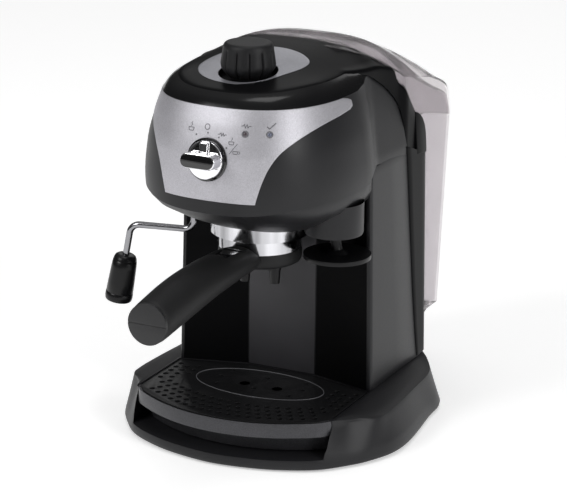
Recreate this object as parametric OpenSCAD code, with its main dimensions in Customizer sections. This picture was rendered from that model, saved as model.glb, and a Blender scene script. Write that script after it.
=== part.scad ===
// Pump espresso machine: column body with an overhanging brewing head, a twist-in filter holder,
// a swivelling steam wand, a pull-out drip tray and a lift-out water tank with a hinged lid.
// X is across (0 = middle), -Y is the front, Z is up from the table.

/* [Base] */
// Half width of the base at its widest
base_half = 109; // [106:1:112]
// Distance from the middle to the front edge of the base
base_front = 102; // [100:1:104]
// Height of the plane that cups stand on
deck_z = 35; // [34:0.5:36]
// Height of the rubber feet
foot_h = 1.5; // [1:0.25:2]

/* [Column] */
// Half width of the column at its foot
column_half = 78; // [77:0.5:79]
// Half width of the column under the head
column_half_top = 74.5; // [73:0.5:75]
// Rear face that the tank stands against
column_rear = 86; // [85:0.5:87]
// Half width of the flat panel in the middle of the alcove
alcove_half = 26.4; // [24:0.2:28]
// How far back the flat alcove panel lies
alcove_y = 12.3; // [11:0.1:13]
// Wall of the plastic shells
wall = 2.5; // [2:0.1:2.8]

/* [Head] */
// Half width of the head
head_half = 82; // [80:0.5:83]
// Half length of the head, from its centre to the front
head_len = 98; // [96:0.5:99]
// Y of the middle of the head's outline
head_y = -10; // [-11:0.5:-9]
// Height of the lower edge of the head at the front
lip_front_z = 186; // [185:0.5:188]
// Height of the lower edge of the head at the sides
lip_side_z = 193; // [191:0.5:194]
// Height of the edge between the control panel and the glossy band
panel_top_z = 258.5; // [258:0.5:259]

/* [Controls] */
// Height of the selector dial's axis
dial_z = 224; // [222:0.5:226]
// Diameter of the selector dial
dial_d = 26.4; // [26:0.2:27]
// Y of the steam knob's axis
knob_y = -46; // [-47:0.5:-45]
// Diameter of the steam knob at its widest
knob_d = 38.4; // [36:0.2:38.6]
// Height of the steam knob's lower edge
knob_z = 268.7; // [268.6:0.1:269]

/* [Brewing group] */
// Y of the group's axis
group_y = -25; // [-26:0.5:-24]
// Outer radius of the locking ring
ring_r = 35.5; // [35:0.1:36]
// Lower edge of the locking ring
ring_z = 152.7; // [152:0.1:154]
// Radius of the filter holder's body
holder_r = 30; // [29.5:0.1:30.2]
// Running clearance of shafts in their bores
run = 0.05; // [0.02:0.01:0.08]

/* [Water] */
// Half width of the tank
tank_half = 71.5; // [70:0.5:72]
// Height of the tank's floor
tank_z = 62; // [61:0.5:64]
// Wall of the tank and its lid
tank_wall = 2; // [1.6:0.1:2.2]

/* [Hidden] */

$fn = 48;
power = 2.5;      // exponent of the head's superellipse outline
arc_steps = 12;   // points along one side of that outline
gap = 0.3;        // play between faces that move past each other

black = "#26262a";
satin = "#3a3a3e";
silver = "#b9b9c0";
chrome = "#d8d8dc";
steel = "#9a9aa0";
rubber = "#1b1b1d";
brass = "#b59a55";
smoke = "#b8b2bc";

// ---- Helpers ------------------------------------------------------------------------------------

// Closed solid through rings of equal length, from the lowest ring to the highest
module loft(rings) {
  n = len(rings[0]);
  m = len(rings);
  middle = function(ring) [for (k = [0:2]) sum([for (p = ring) p[k]]) / n];
  points = concat([for (ring = rings) each ring], [middle(rings[0]), middle(rings[m - 1])]);
  sides = [for (j = [0:m - 2], i = [0:n - 1]) let (k = (i + 1) % n)
    each [[j * n + i, (j + 1) * n + k, j * n + k], [j * n + i, (j + 1) * n + i, (j + 1) * n + k]]];
  floor_faces = [for (i = [0:n - 1]) [m * n, i, (i + 1) % n]];
  roof_faces = [for (i = [0:n - 1]) [m * n + 1, (m - 1) * n + (i + 1) % n, (m - 1) * n + i]];
  polyhedron(points, concat(floor_faces, sides, roof_faces));
}

function sum(values, i = 0) = i == len(values) ? 0 : values[i] + sum(values, i + 1);
function mirrored(half) = concat(half, [for (i = [len(half) - 1:-1:0])
  if (abs(half[i][0]) > 0.01) [-half[i][0], half[i][1], half[i][2]]]);
function flat(points) = [for (p = points) [p[0], p[1]]];

// A node that is one smooth shell with no bores is left to the mesh kernel
module shell_mesh() resize([0, 0, 0]) children();

// Round tube along a route of points
module hose(route, radius, sides = 8) {
  last = len(route) - 1;
  along = function(i) unit(route[min(i + 1, last)] - route[max(i - 1, 0)]);
  loft([for (i = [0:last]) let (d = along(i), u = side_of(d), v = cross(d, u))
    [for (k = [0:sides - 1]) route[i] + radius * (cos(360 * k / sides) * u + sin(360 * k / sides) * v)]]);
}
function unit(v) = v / norm(v);
function side_of(d) = unit(cross(d, abs(d[2]) > 0.9 ? [0, 1, 0] : [0, 0, 1]));

// Points of a quadratic bend between two places around a corner
function bend(a, corner, b, steps = 6) = [for (i = [0:steps]) let (t = i / steps)
  (1 - t) * (1 - t) * a + 2 * t * (1 - t) * corner + t * t * b];

// Round rod along Y, from y0 to y1
module rod_y(radius, y0, y1) translate([0, y1, 0]) rotate([90, 0, 0]) cylinder(r = radius, h = y1 - y0);

// ---- Outlines of the body -----------------------------------------------------------------------

// Half axes of the head's outline and the Y of the slanting back at a height
function head_a(z) = lookup(z, [[200, head_half], [224, head_half - 2.5], [245, head_half - 8.5],
  [panel_top_z, head_half - 13.5]]);
function head_b(z) = lookup(z, [[200, head_len], [224, head_len - 1], [245, head_len - 6.5],
  [panel_top_z, head_len - 12.5]]);
function back_y(z) = lookup(z, [[219, column_rear], [232, 74], [248, 61], [260, 50], [267, 43], [279, 17]]);
function column_x(z) = column_half - (column_half - column_half_top) * (z - deck_z) / 168;
function valley_x(z) = lookup(z, [[203, column_half_top], [245, 65.4], [268, 59]]);

// Height of the roof: middle line less the crown towards the sides
function roof_mid(y) = lookup(y, [[-95, 264], [-87, 266.5], [-78, 267.5], [-39, 273], [0, 279], [20, 281.5],
  [35, 283], [60, 280.5], [85, 270], [115, 250], [135, 236], [145, 226], [150, 211]]);
function crown(y) = lookup(y, [[-90, 0], [-70, 1], [-33, 10.5], [0, 20], [20, 25], [45, 28], [80, 25],
  [115, 16], [150, 3]]);
function roof_z(x, y) = roof_mid(y) - crown(y) * pow(abs(x) / 72, 3.25);
function slope_z(y) = lookup(y, [[17, 279], [43, 267], [61, 248], [74, 232], [column_rear, 219]]);

// Lower edge of the head at a place on its outline
function lip_z(y) = lookup(y, [[-108, lip_front_z], [-86, 190.5], [-50, lip_side_z], [0, lip_side_z]]);

// Half outline of the upper body at a height, moved in by a wall
function body_half(z, t, bottom = false) =
  let (a = head_a(z) - t, b = head_b(z) - t, v = valley_x(z) - t)
  concat(
    [for (i = [0:arc_steps]) let (q = 90 * i / arc_steps, y = head_y - b * pow(cos(q), 2 / power))
      [a * pow(sin(q), 2 / power), y, bottom ? lip_z(y) : z]],
    [[v, t, bottom ? 203 : z],
     [v - 0.3, back_y(z) * 0.7, bottom ? 196 : z],
     [v - 2, back_y(z) - t, bottom ? 191.5 : z],
     [0, back_y(z) - t, bottom ? 191.5 : z]]);

// Half outline of the roof cover, shrunk towards its middle, on the roof surface
function roof_half(scale, t, steps = arc_steps) =
  let (a = 56.5 - t, b = 75.5 - t, c = [0, -20])
  [for (p = concat(
      [for (i = [0:steps]) let (q = 90 * i / steps)
        [a * pow(sin(q), 2 / power), head_y - b * pow(cos(q), 2 / power)]],
      [[59 - t, 2], [61 - t, 24], [60 - t, 42 - t], [0, 42 - t]]))
    let (x = c[0] + scale * (p[0] - c[0]), y = c[1] + scale * (p[1] - c[1]))
      [x, y, min(roof_z(x, y), slope_z(y)) - t]];

// Solid of the upper body, moved in by a wall and carried down by a drop
module upper_solid(t = 0, drop = 0) {
  base_ring = [for (p = mirrored(body_half(200, t, true))) p - [0, 0, drop]];
  loft(concat([base_ring],
    [for (z = [215, 230, 245, panel_top_z]) mirrored(body_half(z - (z == panel_top_z ? t / 2 : 0), t))],
    [for (scale = [1, 0.85, 0.6, 0.3, 0.02]) mirrored(roof_half(scale, t))]));
}
module upper_shell() difference() {
  upper_solid();
  upper_solid(wall, 6);
}

// Front view of the control panel, extruded through the head's front
module panel_prism(play = 0) {
  half = [[0, 196.6], [34.5, 196.6], [38.3, 210.3], [41.6, 219.4], [47.4, 229.9], [55.4, 238.2],
    [63.8, 245.1], [69.6, 248.8], [76, 252], [76, panel_top_z - 0.4], [0, panel_top_z - 0.4]];
  rotate([90, 0, 0]) linear_extrude(height = 110) offset(delta = play)
    polygon(concat(half, [for (i = [len(half) - 2:-1:1]) [-half[i][0], half[i][1]]]));
}
// Plan of the roof cover
module cover_prism() translate([0, 0, 255]) linear_extrude(height = 40)
  polygon(flat(mirrored(roof_half(0.98, 0.9, arc_steps + 5))));
// Plan of the inlay around the steam knob, a little longer to the back
module inlay_prism(z = 255) translate([0, -39, z]) linear_extrude(height = 40)
  scale([1, 1.06]) circle(r = 38);
module knob_well(radius, z0, z1) translate([0, knob_y, z0]) cylinder(r = radius, h = z1 - z0);

// ---- Base ---------------------------------------------------------------------------------------

// Half outlines of the base at the table and at the ridge of its flares
base_foot = [[0, -base_front], [30, -base_front + 4], [52, -base_front + 11], [74, -base_front + 23],
  [90, -base_front + 41], [base_half - 10, -base_front + 55], [base_half, -24], [base_half, 4],
  [base_half - 7, 51], [base_half - 10, 78], [84, 100], [0, 103]];
base_ridge = [[0, -base_front + 2], [29, -base_front + 6], [50.8, -base_front + 13],
  [72, -base_front + 27], [84, -52], [base_half - 11, -35], [base_half - 8.5, -20], [base_half - 9, 1.4],
  [base_half - 11, 31], [base_half - 15, 70], [79, 98], [0, 101]];
base_deck = [[0, -base_front + 3], [28, -base_front + 7], [50, -base_front + 14], [70, -base_front + 28],
  [column_half, -66], [column_half + 1, -52], [column_half + 1, -35], [column_half + 1, -2],
  [column_half + 1, 20], [column_half + 1, 50], [76, 98], [0, 100]];
function inset(points, t, z) = [for (p = points)
  [max(0, p[0] - (p[0] > 0.01 ? t : 0)), p[1] - t * sign(p[1]), z]];
module base_solid(t = 0, z0 = foot_h) loft([
  mirrored(inset(base_foot, t, z0)), mirrored(inset(base_ridge, t, 30 - t)),
  mirrored(inset(base_deck, t, deck_z - t))]);

// Plan of the drip tray's bay, moved in by some play: front arc, sides and the angled alcove walls
function alcove_at(x) = min(alcove_y, alcove_y - (abs(x) - alcove_half) * (alcove_y + 1.5) /
  (column_half - alcove_half));
function tray_half(play, front = 0) = concat(
  [for (x = [0, 15, 30, 45, 58, 68]) [x, -base_front + 3 + front + play + 22.5 * pow(x / 68, 2.1)]],
  [[column_half - play - 0.5, -66 + front], [column_half - play - 0.5, -1.5 - play],
   [alcove_half, alcove_y - play], [0, alcove_y - play]]);
module tray_prism(play, z0, z1, front = 0) translate([0, 0, z0]) linear_extrude(height = z1 - z0)
  polygon(flat(mirrored(tray_half(play, front))));

module base_shell() color(satin) shell_mesh() difference() {
  base_solid();
  difference() {
    base_solid(wall, foot_h - 4);
    tray_prism(-wall, 6.5, deck_z + 5, -8);
  }
  tray_prism(0, 9, deck_z + 5, -8);
  translate([gland_x, 0, gland_z]) rod_y(8.4, 80, 120);
}

module bottom_plate() color(black) difference() {
  union() {
    translate([0, 0, foot_h]) linear_extrude(height = 2.5) offset(delta = -wall - 4.4)
      polygon(flat(mirrored([for (p = base_foot) [p[0], p[1], 0]])));
    cylinder(r = 12, h = foot_h + 1);
  }
  for (p = foot_places) translate([p[0], p[1], 0]) cylinder(r = 3 + run, h = 10);
  for (p = screw_places) translate([p[0], p[1], 0]) {
    cylinder(r = 1.8, h = 10);
    cylinder(r = 3.6, h = foot_h + 1.5);
  }
}

foot_places = [[-72, -48], [72, -48], [-78, 76], [78, 76]];
module rubber_feet() color(rubber) for (p = foot_places) translate([p[0], p[1], 0]) {
  cylinder(r = 8, h = foot_h);
  cylinder(r = 3, h = foot_h + 2.5);
}

// ---- Column -------------------------------------------------------------------------------------

function column_half_ring(z, t) = let (x = column_x(z), k = (z - deck_z) / 168)
  let (cheek = 84 - 20 * k)
  [[0, alcove_y + t, z], [alcove_half, alcove_y + t, z], [x - t, -1.5 + 3 * k + 1.6 * t, z],
   [x - t, cheek - t, z],
   each t > 0 ? [] : [[x - 1.2, 98, z], [tank_half + 0.5, 98, z]],
   [tank_half + 0.5 - t, column_rear - t, z], [0, column_rear - t, z]];
// Side view of what lies above the seam under the upper body
seam = [[-10, 202.2], [0, 202.2], [60.2, 195.2], [86, 190.7], [98, 189.4], [110, 189.4], [110, 230],
  [-10, 230]];
module column_solid(t = 0, more = 0) loft([
  [for (p = mirrored(column_half_ring(deck_z, t))) p - [0, 0, more]],
  [for (p = mirrored(column_half_ring(203, t))) p + [0, 0, more]]]);
module lower_housing() color(satin) shell_mesh() difference() {
  column_solid();
  column_solid(wall, 6);
  along_x(seam, 90);
  hose_way();
  translate([0, 0, duct_z]) rod_y(3.6, 70, 90);
}
// Openings that the two water hoses run through
duct_z = 42.5;
module hose_way() translate([20.2, 0, 186]) rod_y(4.6, 4, 20);

valve_y = 112;
module tank_shelf() color(black) difference() {
  union() {
    rotate([90, 0, 90]) translate([0, 0, -66]) linear_extrude(height = 132)
      polygon([[column_rear + 0.1, tank_z - 16], [column_rear + 0.1, tank_z - 0.3], [133, tank_z - 0.3],
        [133, tank_z - 4]]);
    translate([-15, column_rear + 0.1, duct_z - 6]) cube([30, 41, 20]);
  }
  translate([0, valve_y, 46.9]) cylinder(r = 12.5, h = 40);
  translate([-5, 80, duct_z - 3.5]) cube([10, valve_y + 5 - 80, 8.5]);
}
module tank_socket() color(rubber) translate([0, valve_y, 0]) difference() {
  translate([0, 0, 47]) cylinder(r = 12.4, h = tank_z - 47.3);
  translate([0, 0, 50]) cylinder(r = 9 + run, h = 20);
  translate([0, 0, 40]) cylinder(r = 2.6, h = 20);
}

// ---- Head ---------------------------------------------------------------------------------------

module upper_housing() color(satin) shell_mesh() difference() {
  upper_shell();
  panel_prism();
  cover_prism();
}
module control_panel() color(silver) shell_mesh() difference() {
  intersection() {
    upper_shell();
    panel_prism();
  }
  dial_frame() rod_y(5, -20, 40);
  for (x = lens_x) translate([x, 0, 243]) rod_y(2.6, -130, -60);
}
module top_cover() color(black) shell_mesh() {
  difference() {
    intersection() {
      upper_shell();
      cover_prism();
    }
    difference() {
      inlay_prism();
      upper_solid(1.2, 6);
    }
    knob_well(20.8, 260, 300);
  }
  intersection() {
    upper_solid(1.6, 6);
    difference() {
      knob_well(21.6, 264.4, 290);
      knob_well(20, 266.4, 291);
      knob_well(5, 260, 291);
    }
  }
}
module knob_inlay() color(steel) shell_mesh() difference() {
  intersection() {
    inlay_prism();
    difference() {
      upper_solid();
      upper_solid(1.2, 6);
    }
  }
  knob_well(20, 260, 300);
}

lens_x = [25, 40];
module indicator_lenses() color("darkred") for (x = lens_x)
  translate([x, 0, 243]) rod_y(2.3, lens_front(x), -82);
function lens_front(x) = head_y - head_b(243) * pow(1 - pow(x / head_a(243), power), 1 / power) - 0.5;
module lamp_board() color("darkgreen") {
  translate([17, -77.6, 236]) cube([31, 1.6, 14]);
  for (x = lens_x) translate([x, 0, 243]) rod_y(1.5, -81.9, -77.6);
}

function alcove_gap(x) = alcove_at(x) - gap;
function bowl_half(a, b, z, drop, t) = concat(
  [for (i = [0:arc_steps]) let (q = 90 * i / arc_steps, y = head_y - (b - t) * pow(cos(q), 2 / power))
    [(a - t) * pow(sin(q), 2 / power), y, (z == 0 ? lip_z(y) : z) - drop]],
  [[min(a, 75) - t, alcove_gap(min(a, 75)) - t, (z == 0 ? lip_side_z : z) - drop],
   [min(alcove_half, a) - t, alcove_gap(alcove_half) - t, (z == 0 ? lip_side_z : z) - drop],
   [0, alcove_gap(0) - t, (z == 0 ? lip_side_z : z) - drop]]);
module bowl_solid(t = 0) loft([
  mirrored(bowl_half(46, 48, 162 + t, 0, t)), mirrored(bowl_half(60, 66, 169 + t, 0, t)),
  mirrored(bowl_half(74, 85, 179 + t, 0, t)),
  mirrored(bowl_half(head_half, head_len, 0, t > 0 ? -2 : 0, t))]);
module pod(radius, z0, z1) translate([57, -24, z0]) cylinder(r = radius, h = z1 - z0);
module lower_shroud() color(black) shell_mesh() difference() {
  union() {
    bowl_solid();
    pod(21, 158, 184);
  }
  bowl_solid(2.2);
  pod(19, 160, 200);
  translate([0, group_y, 140]) cylinder(r = ring_r + 0.8, h = 60);
  translate([pivot[0], pivot[1], 140]) cylinder(r = 5, h = 60);
  translate([57, -24, 140]) cylinder(r = 5.2, h = 60);
  hose_way();
}

module tamper() color(black) {
  translate([59.5, -23, 140.5]) cylinder(r = 24, h = 3);
  translate([59.5, -23, 143.5]) cylinder(r1 = 8, r2 = 4, h = 3);
  translate([57, -24, 160]) cylinder(r = 9, h = 2);
  slant = unit([57, -24, 160] - [59.5, -23, 145]);
  translate([59.5, -23, 145]) rotate([0, acos(slant[2]), atan2(slant[1], slant[0])])
    cylinder(r = 4, h = 15.6);
}

// ---- Boiler and brewing group -------------------------------------------------------------------

module at_group() translate([0, group_y, 0]) children();
lug_angles = [90, 210, 330];
lug_span = 34;
module lugs(r_in, r_out, z0, z1) for (angle = lug_angles) rotate([0, 0, angle - lug_span / 2])
  translate([0, 0, z0]) rotate_extrude(angle = lug_span)
    translate([r_in, 0]) square([r_out - r_in, z1 - z0]);

module locking_ring() color(chrome) at_group() {
  difference() {
    translate([0, 0, ring_z]) cylinder(r = ring_r, h = 178 - ring_z, $fn = 96);
    translate([0, 0, ring_z - 1]) cylinder(r = ring_r - 2.9, h = 60, $fn = 96);
  }
  lugs(holder_r + 0.4, ring_r - 2.5, 157, 160.7);
}
module group_seal() color(rubber) at_group() difference() {
  translate([0, 0, 171.5]) cylinder(r = 31.5, h = 6.5);
  translate([0, 0, 170]) cylinder(r = 25, h = 10);
}
module shower_screen() color(steel) at_group() difference() {
  translate([0, 0, 171.6]) cylinder(r = 23.5, h = 1.2);
  translate([0, 0, 170]) cylinder(r = 2.1, h = 4);
  for (r = [6, 10, 14, 18], k = [0:r - 1]) rotate([0, 0, 360 * k / r])
    translate([r, 0, 170]) cylinder(r = 0.7, h = 4, $fn = 16);
}
module shower_screw() color(steel) at_group() {
  translate([0, 0, 169.8]) cylinder(r = 4, h = 1.8);
  translate([0, 0, 171.6]) cylinder(r = 2, h = 12);
}
boiler_pcd = 68;
module boiler_screw_places() for (k = [0:3]) rotate([0, 0, 45 + 90 * k]) translate([boiler_pcd / 2, 0, 0])
  children();
// Flat on the boiler's rear, clear of the column's front panel
module boiler_flat() translate([-45, 34, 170]) cube([90, 10, 90]);
module boiler_base() color("silver") at_group() difference() {
  union() {
    translate([0, 0, 178]) cylinder(r = 38, h = 16);
    translate([0, 0, 172.8]) cylinder(r = 23.5, h = 5.2);
  }
  translate([0, 0, 188]) cylinder(r = 29, h = 10);
  boiler_flat();
  translate([0, 0, 170]) cylinder(r = 2.1, h = 13.8);
  for (x = [-8, 8]) translate([x, 0, 170]) cylinder(r = 1.5, h = 20);
  boiler_screw_places() translate([0, 0, 182]) cylinder(r = 2.1, h = 20);
}
module boiler_gasket() color(rubber) at_group() difference() {
  translate([0, 0, 194]) cylinder(r = 38, h = 2);
  translate([0, 0, 190]) cylinder(r = 29, h = 10);
  boiler_flat();
  boiler_screw_places() translate([0, 0, 182]) cylinder(r = 2.1, h = 20);
}
leg_angles = [200, 140];
leg_r = 20;
module boiler_top() color("silver") at_group() difference() {
  union() {
    translate([0, 0, 196]) cylinder(r = 38, h = 4);
    translate([0, 0, 200]) cylinder(r = 30, h = 32);
  }
  translate([0, 0, 195]) cylinder(r = 26.5, h = 33);
  boiler_flat();
  boiler_screw_places() translate([0, 0, 182]) cylinder(r = 2.1, h = 20);
  for (angle = leg_angles) rotate([0, 0, angle]) translate([leg_r, 0, 220]) cylinder(r = 2.6, h = 20);
  translate([0, knob_y - group_y, 226]) cylinder(r = 1.5, h = 10);
}
module heating_element() color(steel) at_group() {
  translate([0, 0, 206]) rotate([0, 0, leg_angles[0]]) rotate_extrude(angle = 300) translate([leg_r, 0])
    circle(r = 2.4);
  for (angle = leg_angles) rotate([0, 0, angle]) translate([leg_r, 0, 206]) {
    sphere(r = 2.6);
    cylinder(r = 2.2, h = 32);
  }
}
module boiler_screws() color(steel) at_group() boiler_screw_places() {
  translate([0, 0, 184]) cylinder(r = 2, h = 16);
  translate([0, 0, 200]) cylinder(r = 3.5, h = 2.6);
}
module thermostats() color(black) at_group() for (p = [[11, 0], [5, 18]])
  translate([p[0], p[1], 232]) {
    cylinder(r = 7.5, h = 5);
    cylinder(r = 4, h = 8);
  }

// ---- Steam --------------------------------------------------------------------------------------

module steam_valve() color(brass) difference() {
  union() {
    translate([0, knob_y, 232]) cylinder(r = 9, h = 24);
    translate([-6, knob_y, 240]) rotate([0, -90, 0]) cylinder(r = 3.4, h = 8);
  }
  translate([0, knob_y, 246]) cylinder(r = 4 + run, h = 20);
  translate([0, knob_y, 236]) cylinder(r = 2 + run, h = 20);
  translate([-5, knob_y, 240]) rotate([0, -90, 0]) cylinder(r = 2.05, h = 20);
}
pivot = [-60, -12];
module steam_pipe() color(chrome) hose(concat([[-10, knob_y, 240]],
  bend([-20, knob_y, 240], [pivot[0], knob_y, 240], [pivot[0], -26, 232]),
  bend([pivot[0], -20, 226], [pivot[0], pivot[1], 220], [pivot[0], pivot[1], 208]),
  [[pivot[0], pivot[1], 199]]), 2);
module wand_collar() color(brass) translate([pivot[0], pivot[1], 0]) difference() {
  translate([0, 0, 178]) cylinder(r = 6, h = 22);
  translate([0, 0, 170]) cylinder(r = 2.5 + run, h = 40);
}
wand_heading = 192.7;   // direction of the wand's run, anticlockwise from +X
wand_low = 140.4;       // height of the start of its run
wand_rise = 0.5;        // slope of the run
wand_tilt = 10;         // lean of the tip away from the body
wand_bend = 8;          // radius of both bends
wand_run = 33;          // straight stretch between the bends
wand_reach = 50;        // straight length of the tip
sleeve_start = 17;      // bare tube above the sleeve
lap = 0.3;              // how far its stretches reach into the bends
tip_start = let (c = [wand_bend, wand_low + wand_bend])
  c + wand_bend * [sin(wand_rise), -cos(wand_rise)] + wand_run * [cos(wand_rise), sin(wand_rise)];
tip_centre = tip_start + wand_bend * [sin(wand_rise), -cos(wand_rise)];
tip_end = tip_centre + wand_bend * [cos(wand_tilt), sin(wand_tilt)];
module wand_frame() translate([pivot[0], pivot[1], 0]) rotate([0, 0, wand_heading]) children();
module wand_tip_frame() wand_frame() translate([tip_end[0], 0, tip_end[1]])
  rotate([0, 180 - wand_tilt, 0]) children();
module steam_wand() color(chrome) {
  wand_frame() {
    translate([0, 0, wand_low + wand_bend - lap]) cylinder(r = 2.5, h = 198 - wand_low - wand_bend + lap);
    translate([wand_bend, 0, wand_low + wand_bend]) rotate([90, 0, 0]) rotate([0, 0, 180])
      rotate_extrude(angle = 90 + wand_rise) translate([wand_bend, 0]) circle(r = 2.5 + lap / 4);
    translate([wand_bend + wand_bend * sin(wand_rise), 0, wand_low + wand_bend - wand_bend * cos(wand_rise)])
      rotate([0, 90 - wand_rise, 0]) translate([0, 0, -lap]) cylinder(r = 2.5, h = wand_run + 2 * lap);
    translate([tip_centre[0], 0, tip_centre[1]]) rotate([90, 0, 0]) rotate([0, 0, wand_tilt])
      rotate_extrude(angle = 90 + wand_rise - wand_tilt) translate([wand_bend, 0]) circle(r = 2.5 + lap / 4);
  }
  wand_tip_frame() translate([0, 0, -lap]) cylinder(r = 2.5, h = wand_reach + lap);
}
module frother_sleeve() color(rubber) wand_tip_frame() difference() {
  translate([0, 0, sleeve_start]) rotate_extrude()
    polygon([[0, 0], [6, 0], [8.2, 1.2], [9, 4], [10.2, 33], [9.6, 36], [0, 36]]);
  cylinder(r = 2.5 + run, h = wand_reach + 2);
  translate([0, 0, wand_reach + 2]) cylinder(r = 4, h = 10);
}

// ---- Controls -----------------------------------------------------------------------------------

dial_y = -head_len + head_y + 0.6;   // front face of the panel behind the dial
dial_tilt = 8;   // lean of the dial's axis, square to the panel
module dial_frame() translate([0, dial_y, dial_z]) rotate([-dial_tilt, 0, 0]) children();
module selector_switch() color(black) dial_frame() difference() {
  translate([-15, 9.5, -13]) cube([30, 24, 26]);
  rod_y(3 + run, -3, 50);
}
module selector_dial() color(chrome) dial_frame() {
  rod_y(dial_d / 2, -3.6, -0.6);
  translate([-7.7, -14.6, -5.2]) cube([15.4, 11, 10.4]);
  for (x = [-7.7, 7.7]) translate([x, 0, 0]) rod_y(5.2, -14.6, -3.6);
  rod_y(3, -0.6, 32);
  translate([-3, -6.6, 4]) cube([6, 3, 8.2]);
}
module dial_inset() color(black) dial_frame() {
  translate([-7.6, -15.6, -4.6]) cube([15.2, 1, 9.2]);
  for (x = [-7.6, 7.6]) translate([x, 0, 0]) rod_y(4.6, -15.6, -14.6);
}

flutes = 12;
module steam_knob() color(rubber) translate([0, knob_y, 0]) difference() {
  rotate_extrude($fn = 72) polygon([[0, knob_z], [13, knob_z], [16.4, knob_z + 3.4],
    [knob_d / 2, knob_z + 8.5],
    [knob_d / 2, knob_z + 10.5], [17.6, knob_z + 21], [16, knob_z + 24.3], [0, knob_z + 24.7]]);
  for (k = [0:flutes - 1]) rotate([0, 0, 360 * k / flutes]) translate([knob_d / 2 + 1.1, 0, knob_z - 1])
    cylinder(r = 2.1, h = 22, $fn = 24);
}
module knob_spindle() color(brass) translate([0, knob_y, 247]) cylinder(r = 4, h = knob_z - 247);
module valve_needle() color(steel) translate([0, knob_y, 237]) {
  cylinder(r1 = 0.6, r2 = 2, h = 2);
  translate([0, 0, 2]) cylinder(r = 2, h = 6.6);
}

// ---- Filter holder ------------------------------------------------------------------------------

module filter_holder() color(chrome) at_group() {
  difference() {
    translate([0, 0, 142]) cylinder(r = holder_r, h = 28, $fn = 96);
    translate([0, 0, 145]) cylinder(r = 27.8, h = 40, $fn = 96);
    translate([0, 0, 130]) cylinder(r = 4, h = 40);
  }
  lugs(holder_r - 1, ring_r - 3.4, 161, 165);
}
module holder_cup() color(rubber) at_group() difference() {
  union() {
    translate([0, 0, 133]) cylinder(r = holder_r, h = 9);
    translate([0, 0, 131]) cylinder(r1 = holder_r - 2, r2 = holder_r, h = 2);
  }
  translate([0, 0, 120]) cylinder(r = 4, h = 40);
}
module filter_basket() color(steel) at_group() difference() {
  union() {
    translate([0, 0, 147]) cylinder(r = 27.2, h = 23.2);
    translate([0, 0, 170]) cylinder(r = 30.4, h = 1.1);
  }
  translate([0, 0, 148]) cylinder(r = 26.4, h = 40);
  for (r = [5, 10, 15, 20], k = [0:r - 1]) rotate([0, 0, 360 * k / r]) translate([r, 0, 140])
    cylinder(r = 0.6, h = 20, $fn = 16);
}
spout_turn = 13;
module spouts() color(rubber) at_group() rotate([0, 0, spout_turn]) difference() {
  union() {
    translate([0, 0, 127]) cylinder(r = 7, h = 4);
    translate([-11, -4, 124]) cube([22, 8, 5]);
    for (x = [-11, 11]) translate([x, 0, 113.5]) {
      cylinder(r1 = 3.4, r2 = 4.2, h = 10.5);
      translate([0, 0, 10.5]) cylinder(r = 4.6, h = 5);
    }
  }
  for (x = [-11, 11]) translate([x, 0, 110]) cylinder(r = 2.2, h = 16);
}

// Middle line and half sizes of the handle: [y, z, half width, half height]
handle_line = [[-53, 138.5, 14, 7], [-62, 139.6, 15, 10.6], [-80, 140.4, 15.6, 11.6], [-105, 140.2, 16, 13],
  [-130, 139, 16, 14.4], [-155, 136.6, 15.8, 15.2], [-176, 133.8, 15.2, 15.1], [-189, 132, 14.6, 14.8]];
function handle_ring(s) = [for (k = [0:27]) let (q = -360 * k / 28)
  [s[2] * cos(q), s[0], s[1] + s[3] * sin(q)]];
lever_y = -67;
lever_z = 147.2;
module holder_handle() color(rubber) shell_mesh() difference() {
  loft([for (s = handle_line) handle_ring(s)]);
  at_group() translate([0, 0, 120]) cylinder(r = holder_r + 0.05, h = 40, $fn = 96);
  translate([-7.4, -93, lever_z - 3.7]) cube([14.8, 34, 20]);
}
module handle_cap() color(black) difference() {
  translate([0, -189, 132]) rotate([90, 0, 0]) cylinder(r = 14.4, h = 2.6);
  translate([-20, -192.2, 131.6]) cube([40, 1, 0.8]);
}
module lever_pin() color(steel) translate([-9, lever_y, lever_z]) rotate([0, 90, 0])
  cylinder(r = 1.2, h = 18);
module basket_lever() color(black) difference() {
  union() {
    translate([-6.6, -90, lever_z - 1.6]) cube([13.2, 23, 3.2]);
    translate([-6.6, lever_y, lever_z]) rotate([0, 90, 0]) cylinder(r = 2.4, h = 13.2);
    translate([-5, -64.8, lever_z - 0.6]) cube([10, 3, 1.4]);
  }
  translate([-10, lever_y, lever_z]) rotate([0, 90, 0]) cylinder(r = 1.2 + run, h = 20);
}

// ---- Drip tray ----------------------------------------------------------------------------------

tray_floor = 9.6;
module drip_tray() color(black) difference() {
  union() {
    tray_prism(0.5, tray_floor, deck_z - 2.2, 16);
    tray_prism(0.5, 24, deck_z - 2.2);
    difference() {
      tray_prism(0.5, 24, deck_z - 0.4);
      tray_prism(2, 20, deck_z + 1);
    }
  }
  tray_prism(2.6, tray_floor + 2, deck_z, 16);
  tray_prism(2.6, 26, deck_z);
}
hole_r = 2.1;
module grille_plate() difference() {
  tray_prism(2.2, deck_z - 2.1, deck_z);
  for (row = [0:3]) {
    y0 = -base_front + 14 + 7.4 * row;
    for (k = [-9 + (row % 2) / 2:1:9]) let (x = 7.2 * k, y = y0 + 22.5 * pow(abs(x) / 68, 2.1))
      if (abs(x) < 68) translate([x, y, 0]) cylinder(r = hole_r, h = 50, $fn = 16);
  }
  for (side = [-1, 1], column = [0:2], k = [0:4 - column]) let (x = side * (71 - 7.4 * column))
    translate([x, -12 - 8 * k - 4 * (column % 2), 0]) cylinder(r = hole_r, h = 50, $fn = 16);
}
cup_dents = [[-13, -22], [13, -22]];
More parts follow.
